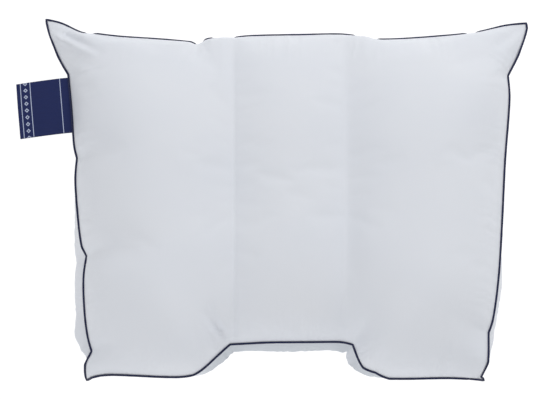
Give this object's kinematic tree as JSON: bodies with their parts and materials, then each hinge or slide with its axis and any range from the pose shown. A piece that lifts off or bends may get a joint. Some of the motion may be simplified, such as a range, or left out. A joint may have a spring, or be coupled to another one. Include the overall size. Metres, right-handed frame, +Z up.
{
  "type": "contour pillow",
  "caption": "Filled pillow with upright chambers, a shoulder cut-out, pointed corners, a piped rim and a folded side label.",
  "frame": {"origin": "under the middle of the pillow's box, on the surface that it lies on", "axes": "+Z up from the back panel to the front panel, +X across the chambers to the right one, +Y from the shoulder cut-out to the head edge"},
  "size_m": [0.627, 0.4476, 0.1373],
  "materials": {
    "percale": "smooth, faintly blue white cotton percale with a fine weave and a soft sheen",
    "navy_cord": "navy woven bias strip over a thin cord",
    "navy_weave": "dense navy satin-faced woven label"
  },
  "bodies": {
    "root": {"case": "percale", "piping": "navy_cord", "label": "navy_weave"}
  },
  "joints": []
}
